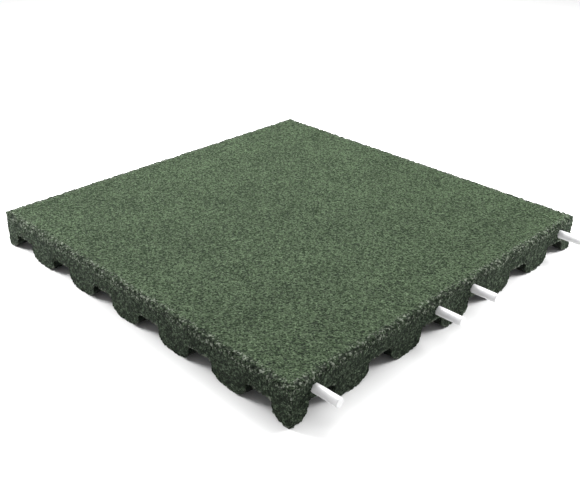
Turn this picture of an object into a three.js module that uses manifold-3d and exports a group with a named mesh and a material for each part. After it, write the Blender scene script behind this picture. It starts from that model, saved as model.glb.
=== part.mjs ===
// Rubber safety tile: one square slab moulded from green rubber granulate, with
// drainage channels under it and four plastic dowel pins pushed into one side.
// Millimetres, +Z up. The origin is the middle of the underside, where the
// central foot stands on the ground. The pins stand out of the +X side.

import * as THREE from 'three';
import * as BufferGeometryUtils from 'three/addons/utils/BufferGeometryUtils.js';
import Module from 'manifold-3d';

const wasm = await Module();
wasm.setup();

// Slab
const LENGTH = 500;                // along X, across the pinned and the socketed side
const WIDTH = 500;                 // along Y
const THICKNESS = 45;
const TOP_EDGE_RADIUS = 3;         // the top edges are pressed round
const CORNER_RADIUS = 2;           // the four upright corners, seen from above

// Drainage channels, the same along X and along Y
const CHANNELS_ACROSS_LENGTH = 6;
const CHANNELS_ACROSS_WIDTH = 6;
const CHANNEL_HEIGHT = 20;         // from the ground to the channel's flat roof
const CHANNEL_WIDTH = 35;          // between the feet where their sides are upright
const ROOF_FILLET_RADIUS = 5;
const FLANK_HEIGHT = 12;           // the feet curve in below this height
const FOOT_FLAT_WIDTH = 10;        // what touches the ground

// Dowel pins
const PIN_DIAMETER = 10;
const PIN_EMBEDDED_LENGTH = 30;    // inside the slab
const PIN_EXPOSED_LENGTH = 30;     // outside the slab
const PIN_CHAMFER = 0.8;
const PIN_CENTRE_HEIGHT = 30;
const PIN_TO_CORNER = 32;          // from the tile's corner to the outer pins
const PIN_TO_MIDDLE = 32;          // from the side's middle to the inner pins

// Holes for the pins, and blind sockets for the next tile's pins
const PIN_CLEARANCE = 0.3;         // round a pin and behind its inner end
const SOCKET_CLEARANCE = 0.3;      // round the next tile's pin
const SOCKET_SPARE_DEPTH = 2;      // behind the next tile's pin

// Facets
const FLANK_STEPS = 6;
const FILLET_STEPS = 4;
const EDGE_STEPS = 3;
const CORNER_STEPS = 4;
const PIN_SEGMENTS = 24;
const CUT_OVERRUN = 10;            // how far a cutting body runs past what it cuts

const rubber = new THREE.MeshStandardMaterial({ color: 0x545f4e, roughness: 0.95, metalness: 0 });
const plastic = new THREE.MeshStandardMaterial({ color: 0xf4f3f2, roughness: 0.45, metalness: 0 });

// Solids for joining and cutting

function toSolid(geometry) {
  geometry.deleteAttribute('normal');
  geometry.deleteAttribute('uv');
  const merged = BufferGeometryUtils.mergeVertices(geometry, 1e-4);
  return new wasm.Manifold(new wasm.Mesh({
    numProp: 3,
    vertProperties: new Float32Array(merged.attributes.position.array),
    triVerts: new Uint32Array(merged.index.array),
  }));
}

function toGeometry(solid) {
  const mesh = solid.getMesh();
  const geometry = new THREE.BufferGeometry();
  geometry.setAttribute('position', new THREE.BufferAttribute(mesh.vertProperties, 3));
  geometry.setIndex(new THREE.BufferAttribute(mesh.triVerts, 1));
  geometry.computeVertexNormals();
  return geometry;
}

// Slab profile: u runs across the channels, z up. It is the outline that a
// cut straight across one set of channels would show.

function channelCentres(span, count) {
  const pitch = span / count;
  return Array.from({ length: count }, (_, i) => -span / 2 + pitch * (i + 0.5));
}

function addArc(points, centreU, centreZ, radiusU, radiusZ, fromAngle, toAngle, steps) {
  for (let i = 1; i <= steps; i += 1) {
    const angle = fromAngle + (toAngle - fromAngle) * i / steps;
    points.push(new THREE.Vector2(
      centreU + radiusU * Math.cos(angle),
      centreZ + radiusZ * Math.sin(angle),
    ));
  }
}

// One channel, from the flat of the foot before it to the flat of the next
// foot: a convex flank, a short upright wall and a fillet up to the flat roof,
// and the same down.
function addChannel(points, centre, pitch) {
  const halfWidth = CHANNEL_WIDTH / 2;
  const flankWidth = (pitch - FOOT_FLAT_WIDTH) / 2 - halfWidth;
  const filletU = halfWidth - ROOF_FILLET_RADIUS;
  const filletZ = CHANNEL_HEIGHT - ROOF_FILLET_RADIUS;
  const left = centre - halfWidth;
  const right = centre + halfWidth;
  const quarter = Math.PI / 2;
  points.push(new THREE.Vector2(left - flankWidth, 0));
  addArc(points, left - flankWidth, FLANK_HEIGHT, flankWidth, FLANK_HEIGHT,
    -quarter, 0, FLANK_STEPS);
  points.push(new THREE.Vector2(left, filletZ));
  addArc(points, centre - filletU, filletZ, ROOF_FILLET_RADIUS, ROOF_FILLET_RADIUS,
    Math.PI, quarter, FILLET_STEPS);
  points.push(new THREE.Vector2(centre + filletU, CHANNEL_HEIGHT));
  addArc(points, centre + filletU, filletZ, ROOF_FILLET_RADIUS, ROOF_FILLET_RADIUS,
    quarter, 0, FILLET_STEPS);
  points.push(new THREE.Vector2(right, FLANK_HEIGHT));
  addArc(points, right + flankWidth, FLANK_HEIGHT, flankWidth, FLANK_HEIGHT,
    Math.PI, Math.PI + quarter, FLANK_STEPS);
}

function slabProfile(span, channelCount) {
  const half = span / 2;
  const quarter = Math.PI / 2;
  const shoulder = THICKNESS - TOP_EDGE_RADIUS;
  const points = [new THREE.Vector2(-half, 0)];
  for (const centre of channelCentres(span, channelCount)) {
    addChannel(points, centre, span / channelCount);
  }
  points.push(new THREE.Vector2(half, 0));
  points.push(new THREE.Vector2(half, shoulder));
  addArc(points, half - TOP_EDGE_RADIUS, shoulder, TOP_EDGE_RADIUS, TOP_EDGE_RADIUS,
    0, quarter, EDGE_STEPS);
  points.push(new THREE.Vector2(-half + TOP_EDGE_RADIUS, THICKNESS));
  addArc(points, -half + TOP_EDGE_RADIUS, shoulder, TOP_EDGE_RADIUS, TOP_EDGE_RADIUS,
    quarter, Math.PI, EDGE_STEPS);
  return new THREE.Shape(points);
}

// The profile pushed along the channels. Extrusion runs along the shape's own
// third axis, so the result is turned until that axis lies along X or Y.
function channelledBar(span, channelCount, run) {
  const length = run + 2 * CUT_OVERRUN;
  const geometry = new THREE.ExtrudeGeometry(slabProfile(span, channelCount), {
    depth: length,
    bevelEnabled: false,
  });
  geometry.translate(0, 0, -length / 2);
  geometry.rotateX(Math.PI / 2);
  return geometry;
}

function slabPlan() {
  const x = LENGTH / 2;
  const y = WIDTH / 2;
  const r = CORNER_RADIUS;
  const quarter = Math.PI / 2;
  const points = [];
  const corners = [[x - r, y - r, 0], [-x + r, y - r, 1], [-x + r, -y + r, 2], [x - r, -y + r, 3]];
  for (const [cx, cy, turn] of corners) {
    points.push(new THREE.Vector2(
      cx + r * Math.cos(turn * quarter),
      cy + r * Math.sin(turn * quarter),
    ));
    addArc(points, cx, cy, r, r, turn * quarter, (turn + 1) * quarter, CORNER_STEPS);
  }
  const geometry = new THREE.ExtrudeGeometry(new THREE.Shape(points), {
    depth: THICKNESS + 2 * CUT_OVERRUN,
    bevelEnabled: false,
  });
  geometry.translate(0, 0, -CUT_OVERRUN);
  return geometry;
}

// Pins and holes

const pinSides = [-1, 1].flatMap((half) => [
  half * (WIDTH / 2 - PIN_TO_CORNER),
  half * PIN_TO_MIDDLE,
]).sort((a, b) => a - b);

// A round bar lying along X from x = start to x = end.
function barAlongX(radius, start, end) {
  const geometry = new THREE.CylinderGeometry(radius, radius, end - start, PIN_SEGMENTS);
  geometry.rotateZ(-Math.PI / 2);
  geometry.translate((start + end) / 2, 0, 0);
  return geometry;
}

function rubberTile() {
  const acrossX = channelledBar(LENGTH, CHANNELS_ACROSS_LENGTH, WIDTH);
  const acrossY = channelledBar(WIDTH, CHANNELS_ACROSS_WIDTH, LENGTH).rotateZ(Math.PI / 2);
  let solid = toSolid(acrossX).intersect(toSolid(acrossY)).intersect(toSolid(slabPlan()));

  const pinHole = barAlongX(
    PIN_DIAMETER / 2 + PIN_CLEARANCE,
    LENGTH / 2 - PIN_EMBEDDED_LENGTH - PIN_CLEARANCE,
    LENGTH / 2 + CUT_OVERRUN,
  );
  const socket = barAlongX(
    PIN_DIAMETER / 2 + SOCKET_CLEARANCE,
    -LENGTH / 2 - CUT_OVERRUN,
    -LENGTH / 2 + PIN_EXPOSED_LENGTH + SOCKET_SPARE_DEPTH,
  );
  for (const y of pinSides) {
    for (const hole of [pinHole, socket]) {
      solid = solid.subtract(toSolid(hole.clone().translate(0, y, PIN_CENTRE_HEIGHT)));
    }
  }
  const mesh = new THREE.Mesh(toGeometry(solid), rubber);
  mesh.name = 'rubber_tile';
  return mesh;
}

// One dowel, turned about its own axis with both ends chamfered.
function dowelPin(number, y) {
  const radius = PIN_DIAMETER / 2;
  const length = PIN_EMBEDDED_LENGTH + PIN_EXPOSED_LENGTH;
  const profile = [
    new THREE.Vector2(0, 0),
    new THREE.Vector2(radius - PIN_CHAMFER, 0),
    new THREE.Vector2(radius, PIN_CHAMFER),
    new THREE.Vector2(radius, length - PIN_CHAMFER),
    new THREE.Vector2(radius - PIN_CHAMFER, length),
    new THREE.Vector2(0, length),
  ];
  const mesh = new THREE.Mesh(new THREE.LatheGeometry(profile, PIN_SEGMENTS), plastic);
  mesh.name = `dowel_pin_${number}`;
  mesh.rotation.z = -Math.PI / 2;
  mesh.position.set(LENGTH / 2 - PIN_EMBEDDED_LENGTH, y, PIN_CENTRE_HEIGHT);
  return mesh;
}

const group = new THREE.Group();
group.add(rubberTile());
pinSides.forEach((y, i) => group.add(dowelPin(i + 1, y)));

export default group;
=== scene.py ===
"""Looks of the rubber safety tile: bonded granulate, dowel pins, a white floor and soft light."""
import math

import bmesh
import bpy
import numpy as np
from mathutils import Matrix, Vector


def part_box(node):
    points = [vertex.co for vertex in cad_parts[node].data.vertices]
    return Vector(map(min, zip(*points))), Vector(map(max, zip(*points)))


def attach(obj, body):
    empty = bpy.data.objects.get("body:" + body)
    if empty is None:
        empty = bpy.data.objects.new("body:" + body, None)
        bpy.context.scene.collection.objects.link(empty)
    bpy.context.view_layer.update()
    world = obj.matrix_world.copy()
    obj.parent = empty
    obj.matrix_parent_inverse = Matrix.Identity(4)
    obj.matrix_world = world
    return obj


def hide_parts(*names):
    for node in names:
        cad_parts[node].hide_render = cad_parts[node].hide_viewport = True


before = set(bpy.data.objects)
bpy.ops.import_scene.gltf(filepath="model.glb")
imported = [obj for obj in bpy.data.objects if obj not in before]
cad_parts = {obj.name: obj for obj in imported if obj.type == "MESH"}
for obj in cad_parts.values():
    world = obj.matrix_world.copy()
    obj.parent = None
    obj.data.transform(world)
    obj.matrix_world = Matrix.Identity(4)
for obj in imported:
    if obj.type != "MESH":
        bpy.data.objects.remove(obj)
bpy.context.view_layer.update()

MM = 0.001
BODY = "root"

# Slab, as the part has it
TILE_LOW, TILE_HIGH = (np.array(corner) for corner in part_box("rubber_tile"))
HALF_LENGTH = (TILE_HIGH[0] - TILE_LOW[0]) / 2
HALF_WIDTH = (TILE_HIGH[1] - TILE_LOW[1]) / 2
THICKNESS = TILE_HIGH[2]
TOP_EDGE_RADIUS = 3 * MM
CORNER_RADIUS = 2 * MM
CHANNELS_ACROSS = 6
CHANNEL_HEIGHT = 20 * MM
CHANNEL_WIDTH = 35 * MM
ROOF_FILLET_RADIUS = 5 * MM
FLANK_HEIGHT = 12 * MM
FOOT_FLAT_WIDTH = 10 * MM
PITCH_X = 2 * HALF_LENGTH / CHANNELS_ACROSS
PITCH_Y = 2 * HALF_WIDTH / CHANNELS_ACROSS

# Pins and the holes round them
PIN_NODES = [name for name in sorted(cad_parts) if name.startswith("dowel_pin")]
PIN_CLEARANCE = 0.3 * MM
SOCKET_DEPTH = 32 * MM
PIN_EMBEDDED_LENGTH = 30 * MM
PIN_EDGE = 0.9 * MM          # radius of a pin's rounded ends
PIN_EDGE_STEPS = 5
PIN_STEPS = 24
PIN_SEGMENTS = 48

# Granulate
FINE_GRAIN = 2.0 * MM        # from one grain to the next, on the top
COARSE_GRAIN = 3.2 * MM      # on the sides and underneath
FINE_RELIEF = 1.0 * MM       # from the tops of the grains down to the pits
COARSE_RELIEF = 1.7 * MM
FLUSH = 0.3                  # share of the relief that the mould presses flat
MISSING_DEPTH = 1.4 * MM     # where a grain has come out of an edge
TOP_EDGE_BAND = 12 * MM      # how far from a top edge grains come out
OTHER_EDGE_BAND = 4 * MM
OTHER_EDGE_CRUMBLING = 0.6   # of what a top edge loses
BAND_FROM = 0.1              # share of a band, next to the edge, that crumbles most
RIM_FROM, RIM_TO = 0.2, 0.7  # crumbling at which the rim's grains start to be coarse, and are
PAINT_FADE = 12 * MM         # how far down the sides the top's green reaches
RIM_WEAR = 0.5               # share of the green that is worn off at the top's edges
BARE_AND_SHADED_DEPTH = 5 * MM          # how far into a channel the green binder reaches; deeper in, bare rubber and painted shade make it near black

# One grain, with distances in shares of its size
CELL_MARGIN = 0.1            # a grain's centre stays this far inside its cell
DOME_FROM, DOME_TO = 0.2, 0.85       # a grain is flat out to the first and has ended at the second
BORDER_WIDTH = 0.35          # over which it dips towards its neighbour
BORDER_HEIGHT = 0.4          # what the dip leaves of its height
PIT_FLOOR = 0.2              # height between the grains
SUNK_FROM, SUNK_DEPTH = 0.6, 0.5     # which grains lie deeper, and the share of their height lost
CRUMB_SIZE = 0.55            # of the finer crumbs between the grains
CRUMB_HEIGHT = 0.35
CRUMB_TO = 0.8               # a crumb has ended here
FINE_SEED, COARSE_SEED = 1, 3
STAYING_GRAINS = 0.62        # share of the grains that never come out
SHALLOWEST_GAP = 0.4         # share of MISSING_DEPTH, where a grain has come out
# painted shade in the hollow left by a lost grain, as a share of a full pit's
GAP_SHADE = 0.8

# Mesh
TOP_STEPS = 228              # from the middle of the top out to its rounded edge
ARC_STEPS = 5
BAND_STEPS = 2
RIM_HEIGHT = THICKNESS - 5.2 * MM    # the top's grid ends here and the sides' grid begins just below
RIM_GAP = 0.9 * MM
PROFILE_STEPS = (3, 14, 3, 6, 14)    # flat, flank, wall, fillet and half the roof
SIDE_STEPS = 32
HOLE_RINGS = 6
WELD_DISTANCE = 0.001 * MM
ON_PLANE = 1e-5              # metres from a plane that still count as on it
GRAIN_LAYERS = ("hollow", "tone", "crumbling", "coat_and_light")

# Colours, from the darkest grains to the lightest
TOP_TONES = [(0.0, (0.004, 0.008, 0.003)), (0.25, (0.025, 0.041, 0.020)), (0.6, (0.042, 0.063, 0.034)),
             (1.0, (0.084, 0.117, 0.069))]
# the sides' tones are darker than the top's partly for their duller rubber and partly as painted shade for
# the less light they get
SHADED_SIDE_TONES = [(0.0, (0.006, 0.009, 0.005)), (0.5, (0.020, 0.030, 0.018)), (1.0, (0.071, 0.094, 0.063))]
# painted shade, with the bare black rubber: near-black tones for the deep shade inside the channels
BARE_AND_SHADED_TONES = [(0.0, (0.003, 0.004, 0.003)), (0.6, (0.009, 0.012, 0.009)), (1.0, (0.034, 0.040, 0.032))]
WORN_SPECK = (0.22, 0.24, 0.20)
# painted shade in the pits and seams between the grains
PIT_SHADE_COLOUR = (0.005, 0.008, 0.005)
PIT_FROM, PIT_TO = 0.38, 0.72         # how hollow a spot is where its painted shade starts, and where it is full
# how much of the pits' painted shade the top and the sides get
TOP_PIT_SHADE = 0.94
SIDE_PIT_SHADE = 0.78
TOP_TONE_SPREAD = 0.27       # how much lighter or darker than the mean one grain can be
SIDE_TONE_SPREAD = 0.38
CRUMBS_PER_METRE = 700.0
CRUMB_BUMP = 0.0005          # metres
# painted shade in the thin seams between the crumbs
SEAM_WIDTH, SEAM_SHADE = 0.09, 0.35
SPECK_STRENGTH = 0.65
WARP_PER_METRE, WARP_REACH = 600.0, 0.0012
CLOUDS_PER_METRE, CLOUD_SHADE = 14.0, 0.07

# Stage
FLOOR_WIDTH = 18.0
ROOM_LIGHT = 0.36
SOFTBOXES = [
    ("ceiling", (-0.3, 0.3, 2.6), 3.0, 52.5),
    ("softbox_behind", (-0.58, 0.42, 1.0), 0.7, 22.5),
    ("softbox_left", (-0.84, -0.56, 0.45), 0.4, 15.5),
    ("softbox_right", (0.67, 0.72, 0.45), 0.4, 12.3),
]
CAMERA_LENS = 52.26
CAMERA_PLACE = (0.66152, -0.66844, 0.49746)
CAMERA_AXES = ((0.70764, 0.70652, 0.00891), (-0.33255, 0.32189, 0.88647), (-0.62344, 0.63026, -0.46270))


def smooth(low, high, x):
    """0 up to low, 1 from high on, and a smooth rise between."""
    t = np.clip((x - low) / (high - low), 0, 1)
    return t * t * (3 - 2 * t)


# Grain pattern

HASH_FACTORS = [np.uint64(n) for n in (0x9E3779B97F4A7C15, 0xC2B2AE3D27D4EB4F, 0x165667B19E3779F9)]
HASH_MIXER = np.uint64(0xBF58476D1CE4E5B9)
HASH_SHIFTS = (31, 29, 33)
HASH_SEED_STEP = 7919
HASH_BITS = 24


def cell_noise(cells, seed):
    """Three numbers from 0 to 1 for each integer cell."""
    c = cells.astype(np.int64).astype(np.uint64)
    mixed = np.full(c.shape[:-1], np.uint64(seed * HASH_SEED_STEP + 1))
    for axis, factor in enumerate(HASH_FACTORS):
        mixed = mixed ^ c[..., axis] * factor
    numbers = []
    for shift in HASH_SHIFTS:
        mixed = (mixed ^ (mixed >> np.uint64(shift))) * HASH_MIXER
        numbers.append((mixed >> np.uint64(64 - HASH_BITS)).astype(np.float64) / 2 ** HASH_BITS)
    return np.stack(numbers, -1)


def grains(points, size, seed):
    """Distance to the nearest and second nearest grain centre, in grains, and that grain's own numbers."""
    at = points / size
    home = np.floor(at)
    first = np.full(len(at), np.inf)
    second = np.full(len(at), np.inf)
    own = np.zeros((len(at), 3))
    for dx in (-1, 0, 1):
        for dy in (-1, 0, 1):
            for dz in (-1, 0, 1):
                cell = home + (dx, dy, dz)
                chance = cell_noise(cell, seed)
                gap = np.linalg.norm(cell + CELL_MARGIN + (1 - 2 * CELL_MARGIN) * chance - at, axis=1)
                nearer = gap < first
                second = np.where(nearer, first, np.minimum(second, gap))
                first = np.where(nearer, gap, first)
                own[nearer] = chance[nearer]
    return first, second, own


def grain_field(points, size, seed):
    """How hollow each point is, 0 on a grain and 1 in a pit between grains, and its grain's own numbers."""
    first, second, own = grains(points, size, seed)
    crumb_first, _, crumb_own = grains(points, size * CRUMB_SIZE, seed + 1)
    border = np.clip((second - first) / BORDER_WIDTH, 0, 1)
    dome = 1 - smooth(DOME_FROM, DOME_TO, first)
    dip = BORDER_HEIGHT + (1 - BORDER_HEIGHT) * border
    sunk = smooth(SUNK_FROM, 1.0, own[:, 2])
    grain = (PIT_FLOOR + (1 - PIT_FLOOR) * dome * dip) * (1 - SUNK_DEPTH * sunk)
    crumb = CRUMB_HEIGHT * (1 - smooth(DOME_FROM, CRUMB_TO, crumb_first)) * crumb_own[:, 0]
    return 1 - np.clip(grain + crumb, 0, 1), own


def granulate_relief(points, coarseness, crumbling):
    """Depth of each point below the moulded face, how hollow it is there, and its grain's own tone.

    The coarseness runs from 0, where the grains are fine, to 1.
    """
    hollow, own = grain_field(points, FINE_GRAIN, FINE_SEED)
    coarse_hollow, coarse_own = grain_field(points, COARSE_GRAIN, COARSE_SEED)
    hollow += coarseness * (coarse_hollow - hollow)
    own += coarseness[:, None] * (coarse_own - own)
    relief = FINE_RELIEF + coarseness * (COARSE_RELIEF - FINE_RELIEF)
    comes_out = own[:, 1] > STAYING_GRAINS
    gone = comes_out * crumbling * (SHALLOWEST_GAP + (1 - SHALLOWEST_GAP) * own[:, 0])
    depth = relief * (hollow - FLUSH) + MISSING_DEPTH * gone
    # lost grains leave hollows, which the material darkens as painted shade
    return depth, np.maximum(hollow, GAP_SHADE * gone), own[:, 0]


# Mesh building

def mesh_object(name, points, faces):
    mesh = bpy.data.meshes.new(name)
    mesh.from_pydata([tuple(p) for p in points], [], faces)
    mesh.validate()
    obj = bpy.data.objects.new(name, mesh)
    bpy.context.scene.collection.objects.link(obj)
    return obj


def span(start, end, steps):
    return [start + (end - start) * i / steps for i in range(steps)]


def underside_line(half, pitch):
    """(u, z) along the underside from the middle of the tile, where a foot stands, out to the side."""
    flat_steps, flank_steps, wall_steps, fillet_steps, roof_steps = PROFILE_STEPS
    half_flat = FOOT_FLAT_WIDTH / 2
    half_channel = CHANNEL_WIDTH / 2
    flank_width = pitch / 2 - half_flat - half_channel
    fillet_u = half_channel - ROOF_FILLET_RADIUS
    fillet_z = CHANNEL_HEIGHT - ROOF_FILLET_RADIUS
    quarter = math.pi / 2
    rise = [(u, 0.0) for u in span(0, half_flat, flat_steps)]
    rise += [(half_flat + flank_width * math.sin(a), FLANK_HEIGHT * (1 - math.cos(a)))
             for a in span(0, quarter, flank_steps)]
    rise += [(pitch / 2 - half_channel, z) for z in span(FLANK_HEIGHT, fillet_z, wall_steps)]
    rise += [(pitch / 2 - fillet_u - ROOF_FILLET_RADIUS * math.cos(a),
              fillet_z + ROOF_FILLET_RADIUS * math.sin(a)) for a in span(0, quarter, fillet_steps)]
    rise += [(u, CHANNEL_HEIGHT) for u in span(pitch / 2 - fillet_u, pitch / 2, roof_steps)]
    points = []
    for i in range(round(half / pitch)):
        points += [(i * pitch + u, z) for u, z in rise]
        points.append(((i + 0.5) * pitch, CHANNEL_HEIGHT))
        points += [((i + 1) * pitch - u, z) for u, z in reversed(rise[1:])]
    points.append((half, 0.0))
    return np.array(points)


def top_line(half):
    """(u, z) along the top from its middle out over the rounded edge and down to the rim."""
    shoulder = THICKNESS - TOP_EDGE_RADIUS
    inner = half - TOP_EDGE_RADIUS
    points = [(u, THICKNESS) for u in span(0, inner, TOP_STEPS)]
    points += [(inner + TOP_EDGE_RADIUS * math.sin(a), shoulder + TOP_EDGE_RADIUS * math.cos(a))
               for a in span(0, math.pi / 2, ARC_STEPS)]
    points += [(half, z) for z in span(shoulder, RIM_HEIGHT, BAND_STEPS)]
    return np.array(points + [(half, RIM_HEIGHT)])


def round_corners(points):
    """Rounds the four upright corners, seen from above."""
    limit = np.array([HALF_LENGTH, HALF_WIDTH]) - CORNER_RADIUS
    past = np.abs(points[:, :2]) - limit
    inside = (past > 0).all(1)
    reach = past[inside].max(1)
    length = np.linalg.norm(past[inside], axis=1)
    corner = limit + past[inside] * (reach / length)[:, None]
    points[inside, :2] = np.sign(points[inside, :2]) * corner
    return points


class Skin:
    """The outer skin of one quarter of the slab, as grids of points joined along their edges."""

    def __init__(self, sign_x, sign_y):
        self.sign = (sign_x, sign_y)
        self.turned = sign_x * sign_y < 0
        self.points = []
        self.faces = []

    def add_points(self, x, y, z):
        start = len(self.points)
        self.points += zip(x * self.sign[0], y * self.sign[1], z)
        return start

    def add_face(self, face, flip=False):
        self.faces.append(face[::-1] if flip != self.turned else face)

    def add_top(self):
        x_line, y_line = top_line(HALF_LENGTH), top_line(HALF_WIDTH)
        nx, ny = len(x_line), len(y_line)
        u, v = np.meshgrid(np.arange(nx), np.arange(ny), indexing="ij")
        x, zx = x_line[u.ravel()].T
        y, zy = y_line[v.ravel()].T
        at = self.add_points(x, y, np.minimum(zx, zy)) + u * ny + v
        for i in range(nx - 1):
            for j in range(ny - 1):
                self.add_face((at[i, j], at[i + 1, j], at[i + 1, j + 1], at[i, j + 1]))
        return at

    def add_underside(self):
        """Cells two samples wide, whose outer edges keep every sample for the sides to meet."""
        x_line, y_line = underside_line(HALF_LENGTH, PITCH_X), underside_line(HALF_WIDTH, PITCH_Y)
        nx, ny = len(x_line), len(y_line)
        u, v = np.meshgrid(np.arange(nx), np.arange(ny), indexing="ij")
        x, zx = x_line[u.ravel()].T
        y, zy = y_line[v.ravel()].T
        at = self.add_points(x, y, np.maximum(zx, zy)) + u * ny + v
        for i in range(0, nx - 1, 2):
            for j in range(0, ny - 1, 2):
                ring = [at[i, j], at[i + 2, j]]
                ring += [at[i + 2, j + 1]] if i + 2 == nx - 1 else []
                ring += [at[i + 2, j + 2]]
                ring += [at[i + 1, j + 2]] if j + 2 == ny - 1 else []
                ring += [at[i, j + 2]]
                self.add_face(tuple(ring), flip=True)
        return at

    def add_side(self, axis):
        """The side across the given axis, from the underside's edge up to just below the rim."""
        half = (HALF_LENGTH, HALF_WIDTH)[axis]
        line = underside_line(*((HALF_WIDTH, PITCH_Y), (HALF_LENGTH, PITCH_X))[axis])
        rows = SIDE_STEPS + 1
        along = np.repeat(line[:, 0], rows)
        foot = np.repeat(line[:, 1], rows)
        z = foot + (RIM_HEIGHT - RIM_GAP - foot) * np.tile(np.arange(rows) / SIDE_STEPS, len(line))
        across = np.full(len(along), half)
        columns = (across, along, z) if axis == 0 else (along, across, z)
        at = self.add_points(*columns) + np.arange(len(line) * rows).reshape(len(line), rows)
        for i in range(len(line) - 1):
            for k in range(SIDE_STEPS):
                self.add_face((at[i, k], at[i + 1, k], at[i + 1, k + 1], at[i, k + 1]), flip=axis == 1)
        return at

    def join_rims(self, lower, upper, axis):
        """A strip of triangles between two rows of points whose samples differ."""
        along = np.abs(np.array([self.points[k][1 - axis] for k in (*lower, *upper)]))
        low_at, high_at = along[:len(lower)], along[len(lower):]
        i = j = 0
        while i + 1 < len(lower) or j + 1 < len(upper):
            low_next = i + 1 < len(lower) and (j + 1 == len(upper) or low_at[i + 1] <= high_at[j + 1])
            step = lower[i + 1] if low_next else upper[j + 1]
            self.add_face((lower[i], step, upper[j]), flip=axis == 1)
            i, j = (i + 1, j) if low_next else (i, j + 1)


def quarter_skin(sign_x, sign_y):
    """Points and faces of the skin, and the outline of the two cut walls inside the slab."""
    skin = Skin(sign_x, sign_y)
    top = skin.add_top()
    underside = skin.add_underside()
    across_x = skin.add_side(0)
    across_y = skin.add_side(1)
    skin.join_rims(across_x[:, -1], top[-1], 0)
    skin.join_rims(across_y[:, -1], top[:, -1], 1)
    walls = [
        [*underside[0, ::2], *across_y[0, 1:], *top[0, ::-1]],
        [*underside[::2, 0], *across_x[0, 1:], *top[::-1, 0]],
    ]
    return np.array(skin.points), skin.faces, walls


def weld(points, faces, walls):
    """Merges points in the same place, and drops what shrinks to nothing."""
    keys = np.round(points / WELD_DISTANCE).astype(np.int64)
    _, first, place = np.unique(keys, axis=0, return_index=True, return_inverse=True)
    place = place.ravel()

    def welded(face):
        ring = [place[k] for k in face]
        return tuple(k for k, before in zip(ring, ring[-1:] + ring[:-1]) if k != before)

    kept = [ring for ring in map(welded, faces) if len(set(ring)) > 2]
    return points[first], kept, [welded(wall) for wall in walls]


def open_holes(bm, side, centres, radius):
    """Opens round holes in the side at x = side, and returns their rims."""
    def near(place, y, z, reach):
        return abs(place.x - side) < ON_PLANE and math.hypot(place.y - y, place.z - z) < reach

    rims = []
    for y, z in centres:
        inside = [f for f in bm.faces if near(f.calc_center_median(), y, z, radius)]
        if not inside:
            continue
        bmesh.ops.delete(bm, geom=inside, context="FACES")
        rim = [e for e in bm.edges if e.is_boundary and all(near(w.co, y, z, 2 * radius) for w in e.verts)]
        for w in {w for e in rim for w in e.verts}:
            from_centre = Vector((0, w.co.y - y, w.co.z - z)).normalized() * radius
            w.co = Vector((side, y, z)) + from_centre
        rims.append(rim)
    return rims


def line_hole(bm, rim, inward, depth):
    """Takes a rim straight in and closes it with a flat bottom."""
    for step in range(HOLE_RINGS):
        grown = bmesh.ops.extrude_edge_only(bm, edges=rim)["geom"]
        for w in [g for g in grown if isinstance(g, bmesh.types.BMVert)]:
            w.co.x += inward * depth / HOLE_RINGS
        rim = [g for g in grown if isinstance(g, bmesh.types.BMEdge)]
    bmesh.ops.contextual_create(bm, geom=rim)


def height_at(u, pitch):
    """Height of the underside's profile at u."""
    half_channel = CHANNEL_WIDTH / 2
    half_flat = FOOT_FLAT_WIDTH / 2
    flank_width = pitch / 2 - half_flat - half_channel
    from_foot = np.abs((u + pitch / 2) % pitch - pitch / 2)
    t = np.clip((from_foot - half_flat) / flank_width, 0, 1)
    flank = FLANK_HEIGHT * (1 - np.sqrt(1 - t * t))
    return np.where(from_foot > pitch / 2 - half_channel, CHANNEL_HEIGHT, flank)


def crumbling_share(points):
    """How readily grains come out: 1 at the top edges, less at the corners and round the feet."""
    to_side = np.array([HALF_LENGTH, HALF_WIDTH]) - np.abs(points[:, :2])
    nearest_side, other_side = to_side.min(1), to_side.max(1)
    to_top = THICKNESS - points[:, 2]
    profile = np.maximum(height_at(points[:, 0], PITCH_X), height_at(points[:, 1], PITCH_Y))
    to_bottom = np.maximum(points[:, 2] - profile, 0)
    top_edge = np.maximum(nearest_side, to_top)
    other_edge = np.minimum(other_side, np.maximum(nearest_side, to_bottom))
    return np.maximum(1 - smooth(BAND_FROM, 1.0, top_edge / TOP_EDGE_BAND),
                      OTHER_EDGE_CRUMBLING * (1 - smooth(BAND_FROM, 1.0, other_edge / OTHER_EDGE_BAND)))


def coat_and_light_share(points, crumbling):
    """1 on the green top, less along its worn rim, a half on the sides and 0 inside the bare channels;
    sides and channels are darkened partly as painted shade.
    """
    to_side = (np.array([HALF_LENGTH, HALF_WIDTH]) - np.abs(points[:, :2])).min(1)
    top = smooth(THICKNESS - PAINT_FADE, THICKNESS, points[:, 2]) * (1 - RIM_WEAR * crumbling)
    # painted shade, with the bare rubber: the channels darken from their openings inwards
    bare_and_shaded = smooth(0, BARE_AND_SHADED_DEPTH, to_side) * (points[:, 2] < CHANNEL_HEIGHT + WELD_DISTANCE)
    return 0.5 + 0.5 * top - 0.5 * bare_and_shaded


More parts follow.
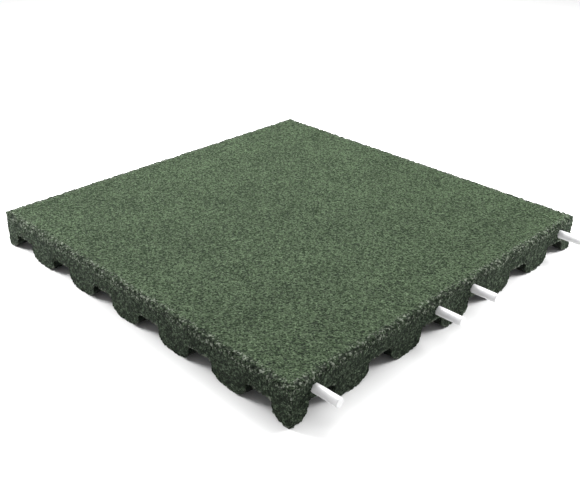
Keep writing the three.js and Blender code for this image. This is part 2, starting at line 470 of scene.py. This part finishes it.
def granulate_quarter(name, sign_x, sign_y, holes):
    points, faces, walls = quarter_skin(sign_x, sign_y)
    points, faces, walls = weld(round_corners(points), faces, walls)
    obj = mesh_object(name, points, faces)
    bm = bmesh.new()
    bm.from_mesh(obj.data)
    stores = [bm.verts.layers.float.new(layer) for layer in GRAIN_LAYERS]
    bm.verts.ensure_lookup_table()
    wall_verts = [[bm.verts[k] for k in wall] for wall in walls]
    lining = []
    for side, centres, radius, depth in holes:
        lining += [(rim, -math.copysign(1, side), depth) for rim in open_holes(bm, side, centres, radius)]
    bm.normal_update()

    at = np.array([v.co[:] for v in bm.verts])
    normals = np.array([v.normal[:] for v in bm.verts])
    for axis in (0, 1):
        normals[np.abs(at[:, axis]) < ON_PLANE, axis] = 0
    crumbling = crumbling_share(at)
    coat_and_light = coat_and_light_share(at, crumbling)
    coarseness = np.maximum(np.clip(2 - 2 * coat_and_light, 0, 1), smooth(RIM_FROM, RIM_TO, crumbling))
    depth, hollow, tone = granulate_relief(at, coarseness, crumbling)
    moved = np.clip(at - normals * depth[:, None], TILE_LOW, TILE_HIGH)
    values = np.stack([hollow, tone, crumbling, coat_and_light], 1)
    for vertex, place, numbers in zip(bm.verts, moved, values):
        vertex.co = place
        for store, number in zip(stores, numbers):
            vertex[store] = number
    for face in bm.faces:
        face.smooth = True

    for rim, inward, depth in lining:
        line_hole(bm, rim, inward, depth)
    for wall in wall_verts:
        for edge in bm.faces.new(wall).edges:
            edge.smooth = False
    bmesh.ops.recalc_face_normals(bm, faces=bm.faces)
    bm.to_mesh(obj.data)
    bm.free()
    return obj


# Materials

class Nodes:
    """A material's node tree, built one node at a time."""

    def __init__(self, name):
        self.material = bpy.data.materials.new(name)
        self.material.use_nodes = True
        self.tree = self.material.node_tree
        self.shader = self.tree.nodes["Principled BSDF"]

    def link(self, output, socket):
        self.tree.links.new(output, socket)

    def add(self, kind, inputs=None, **settings):
        node = self.tree.nodes.new(kind)
        for key, value in settings.items():
            setattr(node, key, value)
        for key, value in (inputs or {}).items():
            if isinstance(value, bpy.types.NodeSocket):
                self.link(value, node.inputs[key])
            else:
                node.inputs[key].default_value = value
        return node

    def math(self, operation, a, b=0.0, clamp=False):
        return self.add("ShaderNodeMath", {0: a, 1: b}, operation=operation, use_clamp=clamp).outputs[0]

    def ranged(self, value, low, high, to_low=0.0, to_high=1.0):
        node = self.add("ShaderNodeMapRange", {
            "Value": value, "From Min": low, "From Max": high, "To Min": to_low, "To Max": to_high},
            interpolation_type="SMOOTHSTEP")
        return node.outputs["Result"]

    def mix(self, factor, a, b, blend="MIX"):
        node = self.add("ShaderNodeMix", data_type="RGBA", blend_type=blend)
        for index, value in ((0, factor), (6, a), (7, b)):
            if isinstance(value, bpy.types.NodeSocket):
                self.link(value, node.inputs[index])
            else:
                node.inputs[index].default_value = value
        return node.outputs[2]

    def scaled(self, colour, factor):
        return self.add("ShaderNodeVectorMath", {0: colour, "Scale": factor}, operation="SCALE").outputs[0]

    def ramp(self, factor, stops):
        node = self.add("ShaderNodeValToRGB", {"Fac": factor})
        elements = node.color_ramp.elements
        while len(elements) < len(stops):
            elements.new(0.5)
        for element, (place, colour) in zip(elements, stops):
            element.position = place
            element.color = (*colour, 1)
        return node.outputs["Color"]


def granulate_material():
    n = Nodes("rubber_granulate")
    place = n.add("ShaderNodeTexCoord").outputs["Object"]
    hollow, tone, crumbling, coat_and_light = (
        n.add("ShaderNodeAttribute", attribute_name=layer).outputs["Fac"] for layer in GRAIN_LAYERS)
    wander = n.add("ShaderNodeTexNoise", {"Vector": place, "Scale": WARP_PER_METRE, "Detail": 2.0})
    shift = n.add("ShaderNodeVectorMath", {0: wander.outputs["Color"], 1: (0.5, 0.5, 0.5)},
                  operation="SUBTRACT").outputs[0]
    shift = n.add("ShaderNodeVectorMath", {0: shift, "Scale": WARP_REACH}, operation="SCALE").outputs[0]
    warped = n.add("ShaderNodeVectorMath", {0: place, 1: shift}, operation="ADD").outputs[0]
    crumb = n.add("ShaderNodeTexVoronoi", {"Vector": warped, "Scale": CRUMBS_PER_METRE}, feature="F1")
    border = n.add("ShaderNodeTexVoronoi", {"Vector": warped, "Scale": CRUMBS_PER_METRE},
                   feature="DISTANCE_TO_EDGE").outputs["Distance"]
    own = n.add("ShaderNodeSeparateColor", {"Color": crumb.outputs["Color"]})

    green = n.ramp(own.outputs["Red"], TOP_TONES)
    # painted shade, with the duller rubber: the sides take darker tones than the top
    dull_and_shaded = n.ramp(own.outputs["Red"], SHADED_SIDE_TONES)
    colour = n.mix(n.ranged(coat_and_light, 0.5, 1.0), dull_and_shaded, green)
    # painted shade in the channels, with their bare rubber
    colour = n.mix(n.ranged(coat_and_light, 0.5, 0.0), colour, n.ramp(own.outputs["Red"], BARE_AND_SHADED_TONES))
    spread = n.ranged(coat_and_light, 0.5, 1.0, 2 * SIDE_TONE_SPREAD, 2 * TOP_TONE_SPREAD)
    lighter = n.math("MULTIPLY", n.math("SUBTRACT", tone, 0.5), spread)
    cloud = n.add("ShaderNodeTexNoise", {"Vector": place, "Scale": CLOUDS_PER_METRE, "Detail": 3.0})
    cloud_shade = n.ranged(cloud.outputs["Fac"], 0.3, 0.7, 1 - CLOUD_SHADE, 1 + CLOUD_SHADE)
    shade = n.math("MULTIPLY", n.math("ADD", 1.0, lighter), cloud_shade)
    colour = n.scaled(colour, shade)

    speck = n.math("MULTIPLY", n.ranged(own.outputs["Blue"], 0.8, 0.86), n.ranged(crumbling, 0.1, 0.5))
    coarse = n.math("MULTIPLY", n.ranged(tone, 0.78, 0.9), n.ranged(crumbling, 0.1, 0.5))
    worn = n.math("MULTIPLY", n.math("MAXIMUM", speck, coarse), n.ranged(coat_and_light, 0.2, 0.5))
    colour = n.mix(n.math("MULTIPLY", worn, SPECK_STRENGTH), colour, (*WORN_SPECK, 1))
    # painted shade in the crevices between the crumbs
    seam_shade = n.ranged(border, 0.0, SEAM_WIDTH, SEAM_SHADE, 0.0)
    # painted shade: pits, hollows of lost grains and seams between crumbs darken towards the pit colour
    pit_shade = n.ranged(hollow, PIT_FROM, PIT_TO)
    painted_shade = n.math("MAXIMUM", pit_shade, seam_shade)
    painted_shade = n.math("MULTIPLY", painted_shade, n.ranged(coat_and_light, 0.5, 1.0, SIDE_PIT_SHADE, TOP_PIT_SHADE))
    colour = n.mix(painted_shade, colour, (*PIT_SHADE_COLOUR, 1))
    n.link(colour, n.shader.inputs["Base Color"])

    rough = n.ranged(own.outputs["Green"], 0.0, 1.0, 0.7, 0.95)
    n.link(rough, n.shader.inputs["Roughness"])
    n.shader.inputs["Specular IOR Level"].default_value = 0.08

    dome = n.ranged(crumb.outputs["Distance"], 0.1, 0.75, 1.0, 0.0)
    lift = n.math("MULTIPLY", own.outputs["Green"], 0.6)
    height = n.math("ADD", n.math("MULTIPLY", dome, 0.8), lift)
    bump = n.add("ShaderNodeBump", {"Strength": 0.7, "Distance": CRUMB_BUMP, "Height": height})
    n.link(bump.outputs["Normal"], n.shader.inputs["Normal"])
    return n.material


def pin_material():
    n = Nodes("white_plastic")
    place = n.add("ShaderNodeTexCoord").outputs["Object"]
    stretched = n.add("ShaderNodeMapping", {"Vector": place, "Scale": (0.08, 1.0, 1.0)}).outputs[0]
    drawn = n.add("ShaderNodeTexNoise", {"Vector": stretched, "Scale": 900.0, "Detail": 3.0}).outputs["Fac"]
    mottle = n.add("ShaderNodeTexNoise", {"Vector": place, "Scale": 160.0, "Detail": 2.0}).outputs["Fac"]
    colour = n.ramp(mottle, [(0.3, (0.62, 0.62, 0.63)), (0.7, (0.68, 0.68, 0.68))])
    n.link(colour, n.shader.inputs["Base Color"])
    n.link(n.ranged(drawn, 0.3, 0.7, 0.32, 0.48), n.shader.inputs["Roughness"])
    bump = n.add("ShaderNodeBump", {"Strength": 0.25, "Distance": 0.0002, "Height": drawn})
    n.link(bump.outputs["Normal"], n.shader.inputs["Normal"])
    return n.material


def floor_material():
    n = Nodes("studio_floor")
    n.shader.inputs["Base Color"].default_value = (0.9, 0.9, 0.9, 1)
    n.shader.inputs["Roughness"].default_value = 0.9
    n.shader.inputs["Specular IOR Level"].default_value = 0.0
    return n.material


# Pieces

RUBBER = granulate_material()
PLASTIC = pin_material()


def tile_pieces():
    pins = [tuple(np.array(corner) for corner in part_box(name)) for name in PIN_NODES]
    centres = [((low[1] + high[1]) / 2, (low[2] + high[2]) / 2) for low, high in pins]
    radius = (pins[0][1][2] - pins[0][0][2]) / 2 + PIN_CLEARANCE
    pin_holes = (TILE_HIGH[0], centres, radius, PIN_EMBEDDED_LENGTH + PIN_CLEARANCE)
    sockets = (TILE_LOW[0], centres, radius, SOCKET_DEPTH)
    quarters = [("pinned_left", 1, -1, pin_holes), ("pinned_right", 1, 1, pin_holes),
                ("socketed_left", -1, -1, sockets), ("socketed_right", -1, 1, sockets)]
    for name, sign_x, sign_y, holes in quarters:
        piece = granulate_quarter(f"granulate_{name}", sign_x, sign_y, [holes])
        piece.data.materials.append(RUBBER)
        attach(piece, BODY)
        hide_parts("rubber_tile")


def lathe(name, profile, segments):
    """Turns (x, r) points round the X axis."""
    points = []
    for x, r in profile:
        for k in range(segments):
            a = 2 * math.pi * k / segments
            points.append((x, r * math.cos(a), r * math.sin(a)))
    faces = []
    for i in range(len(profile) - 1):
        for k in range(segments):
            a = i * segments + k
            b = i * segments + (k + 1) % segments
            faces.append((a, b, b + segments, a + segments))
    faces.append(tuple(range(segments))[::-1])
    last = (len(profile) - 1) * segments
    faces.append(tuple(range(last, last + segments)))
    return mesh_object(name, points, faces)


def pin_pieces():
    for number, node in enumerate(PIN_NODES, 1):
        low, high = (np.array(corner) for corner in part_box(node))
        radius = (high[2] - low[2]) / 2
        rise = [(low[0] + PIN_EDGE * (1 - math.cos(a)), radius - PIN_EDGE * (1 - math.sin(a)))
                for a in span(0, math.pi / 2, PIN_EDGE_STEPS)]
        run = [(x, radius) for x in span(low[0] + PIN_EDGE, high[0] - PIN_EDGE, PIN_STEPS)]
        fall = [(low[0] + high[0] - x, r) for x, r in reversed(rise)]
        profile = rise + run + [(high[0] - PIN_EDGE, radius)] + fall
        piece = lathe(f"white_dowel_{number}", profile, PIN_SEGMENTS)
        middle = Vector((0, (low[1] + high[1]) / 2, (low[2] + high[2]) / 2))
        piece.data.transform(Matrix.Translation(middle))
        bm = bmesh.new()
        bm.from_mesh(piece.data)
        bmesh.ops.recalc_face_normals(bm, faces=bm.faces)
        bm.to_mesh(piece.data)
        bm.free()
        piece.data.shade_smooth()
        piece.data.materials.append(PLASTIC)
        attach(piece, BODY)
        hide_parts(node)


# Stage

def make_floor():
    half = FLOOR_WIDTH / 2
    floor = mesh_object("floor", [(-half, -half, 0), (half, -half, 0), (half, half, 0), (-half, half, 0)],
                        [(0, 1, 2, 3)])
    floor.data.materials.append(floor_material())


def make_world():
    world = bpy.data.worlds.new("studio")
    bpy.context.scene.world = world
    world.use_nodes = True
    background = world.node_tree.nodes["Background"]
    background.inputs["Color"].default_value = (1, 1, 1, 1)
    background.inputs["Strength"].default_value = ROOM_LIGHT


def make_softbox(name, place, size, power):
    data = bpy.data.lights.new(name, "AREA")
    data.shape = "SQUARE"
    data.size = size
    data.energy = power
    lamp = bpy.data.objects.new(name, data)
    bpy.context.scene.collection.objects.link(lamp)
    lamp.location = place
    lamp.visible_camera = False
    lamp.rotation_euler = (-Vector(place)).to_track_quat("-Z", "Y").to_euler()


def make_camera():
    data = bpy.data.cameras.new("camera")
    data.sensor_width = 36
    data.lens = CAMERA_LENS
    data.clip_start = 0.01
    camera = bpy.data.objects.new("camera", data)
    bpy.context.scene.collection.objects.link(camera)
    right, up, forward = (Vector(v) for v in CAMERA_AXES)
    turn = Matrix((right, up, -forward)).transposed().to_4x4()
    camera.matrix_world = Matrix.Translation(CAMERA_PLACE) @ turn
    bpy.context.scene.camera = camera


make_camera()
make_world()
for softbox in SOFTBOXES:
    make_softbox(*softbox)
make_floor()
tile_pieces()
pin_pieces()
bpy.context.scene.view_settings.view_transform = "Standard"
